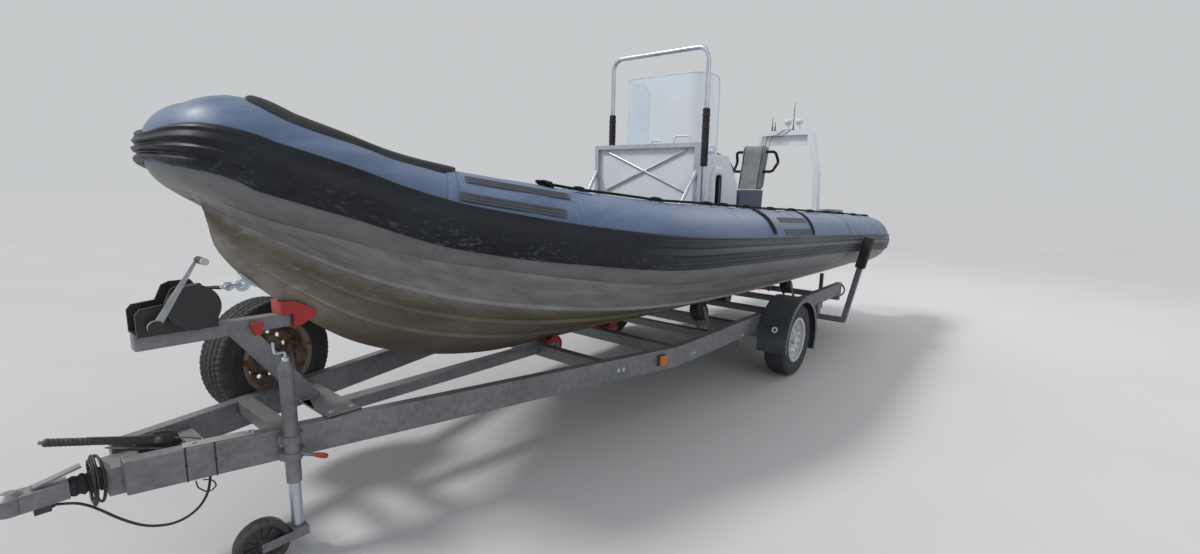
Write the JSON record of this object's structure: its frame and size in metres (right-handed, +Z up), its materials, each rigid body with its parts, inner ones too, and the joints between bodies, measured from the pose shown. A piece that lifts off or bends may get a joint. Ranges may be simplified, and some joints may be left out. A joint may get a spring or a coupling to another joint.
{
  "type": "inflatable boat on trailer",
  "caption": "Rigid-hulled inflatable boat with a console, roll hoop and stern arch, strapped on a single-axle roller trailer with a jockey wheel and a spare wheel.",
  "frame": {"origin": "on the ground, on the centre line, under the middle of the whole length", "axes": "+X to the bow and the tow coupling, +Y to port, +Z up"},
  "size_m": [7.5644, 2.6544, 2.7059],
  "materials": {
    "gelcoat": "aged glass-fibre gel coat",
    "deck_grey": "non-slip moulded deck",
    "collar_fabric": "coated fabric, dull",
    "black_rubber": "ribbed rubber",
    "bow_grip": "anti-slip rubber sheet",
    "webbing": "woven webbing",
    "console_white": "moulding, satin",
    "clear_sheet": "clear acrylic sheet",
    "dark_plastic": "moulded plastic",
    "foam": "closed-cell foam",
    "rail_steel": "painted tube",
    "cover_cloth": "coated cloth cover",
    "pedestal_blue": "moulding",
    "galvanised": "hot-dip zinc, dull",
    "tyre_rubber": "road tyre",
    "rim_silver": "silver paint",
    "rim_rusty": "rusted steel",
    "red_roller": "cast rubber",
    "dark_roller": "moulded rubber",
    "board_paint": "gel coat over board",
    "lamp_amber": "lens",
    "cable_black": "cable jacket"
  },
  "bodies": {
    "boat_and_trailer": {"hull": "gelcoat", "deck": "deck_grey", "collar_port": "collar_fabric", "collar_starboard": "collar_fabric", "collar_bow": "collar_fabric", "rub_strake": "black_rubber", "bow_pad": "bow_grip", "wear_patches": "black_rubber", "grab_lines": "webbing", "transom": "board_paint", "tow_eyes": "galvanised", "console": "console_white", "instruments": "dark_plastic", "windscreen": "clear_sheet", "roll_hoop": "rail_steel", "hoop_sleeves": "foam", "front_frame": "rail_steel", "front_panel": "console_white", "throttle": "dark_plastic", "seat_pedestal": "pedestal_blue", "seat_cover": "cover_cloth", "seat_loops": "webbing", "stern_arch": "rail_steel", "aerials": "console_white", "beam_port": "galvanised", "beam_starboard": "galvanised", "cross_members": "galvanised", "centre_beam": "galvanised", "axle": "galvanised", "mudguards": "dark_plastic", "spare_tyre": "tyre_rubber", "spare_rim": "rim_rusty", "spare_carrier": "galvanised", "winch_post": "galvanised", "winch": "dark_plastic", "winch_strap": "webbing", "snubber": "red_roller", "keel_rollers": "red_roller", "keel_brackets": "galvanised", "side_rollers": "dark_roller", "side_brackets": "galvanised", "guide_posts": "galvanised", "guide_pads": "foam", "lamp_posts": "galvanised", "jockey_tube": "galvanised", "coupling": "galvanised", "bellows": "black_rubber", "handbrake": "dark_plastic", "lamps": "lamp_amber", "cable": "cable_black", "plug": "dark_plastic"},
    "wheel_port": {"tyre_port": "tyre_rubber", "rim_port": "rim_silver"},
    "wheel_starboard": {"tyre_starboard": "tyre_rubber", "rim_starboard": "rim_silver"},
    "jockey_inner_leg": {"jockey_leg": "galvanised"},
    "jockey_wheel_fork": {"jockey_fork": "galvanised"},
    "jockey_rolling_wheel": {"jockey_wheel": "tyre_rubber"},
    "helm": {"helm_wheel": "dark_plastic"}
  },
  "joints": [
    {"name": "wheel_port_spin", "type": "hinge", "parent": "boat_and_trailer", "child": "wheel_port", "pos_m": [-0.9035, 0.99, 0.315], "axis": [0, 1, 0], "continuous": true},
    {"name": "wheel_starboard_spin", "type": "hinge", "parent": "boat_and_trailer", "child": "wheel_starboard", "pos_m": [-0.9035, -0.99, 0.315], "axis": [0, 1, 0], "continuous": true},
    {"name": "jockey_slide", "type": "slide", "parent": "boat_and_trailer", "child": "jockey_inner_leg", "axis": [0, 0, 1], "range_m": [0, 0.195]},
    {"name": "jockey_swivel", "type": "hinge", "parent": "jockey_inner_leg", "child": "jockey_wheel_fork", "pos_m": [2.9315, 0.31808, 0.105], "axis": [0, 0, 1], "continuous": true},
    {"name": "jockey_wheel_spin", "type": "hinge", "parent": "jockey_wheel_fork", "child": "jockey_rolling_wheel", "pos_m": [3.0735, 0.31808, 0.105], "axis": [0, 1, 0], "continuous": true},
    {"name": "helm_turn", "type": "hinge", "parent": "boat_and_trailer", "child": "helm", "pos_m": [-0.97783, 0.14, 1.7774], "axis": [-0.7593, 0, 0.6508], "range_deg": [-720, 720]}
  ]
}
